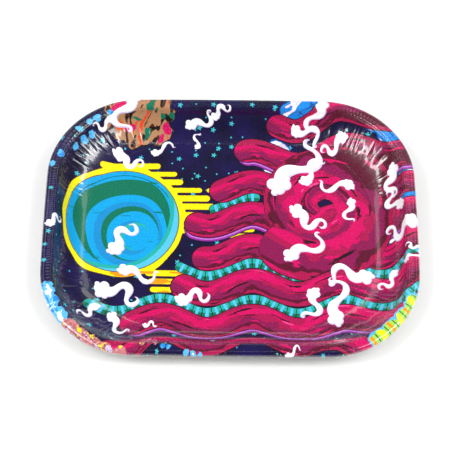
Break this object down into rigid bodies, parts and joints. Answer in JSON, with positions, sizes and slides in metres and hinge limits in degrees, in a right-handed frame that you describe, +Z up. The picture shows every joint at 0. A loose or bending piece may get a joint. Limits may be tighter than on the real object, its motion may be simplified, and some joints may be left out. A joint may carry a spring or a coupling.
{
  "type": "serving tray",
  "caption": "Small printed tinplate serving tray: flat panel, concave cove, narrow flange and rolled rim, rounded corners.",
  "frame": {"origin": "on the ground, under the middle of the flat panel", "axes": "+X along the tray's long side, +Y from the front side to the back side, +Z up out of the tray"},
  "size_m": [0.18, 0.14, 0.0142],
  "materials": {
    "tinplate": "bright tin coating under a thin clear lacquer",
    "print_lacquer": "lithographed inks on a dark blue ground under high-gloss clear lacquer"
  },
  "bodies": {
    "root": {"tinplate_pan": "tinplate", "printed_face": "print_lacquer"}
  },
  "joints": []
}
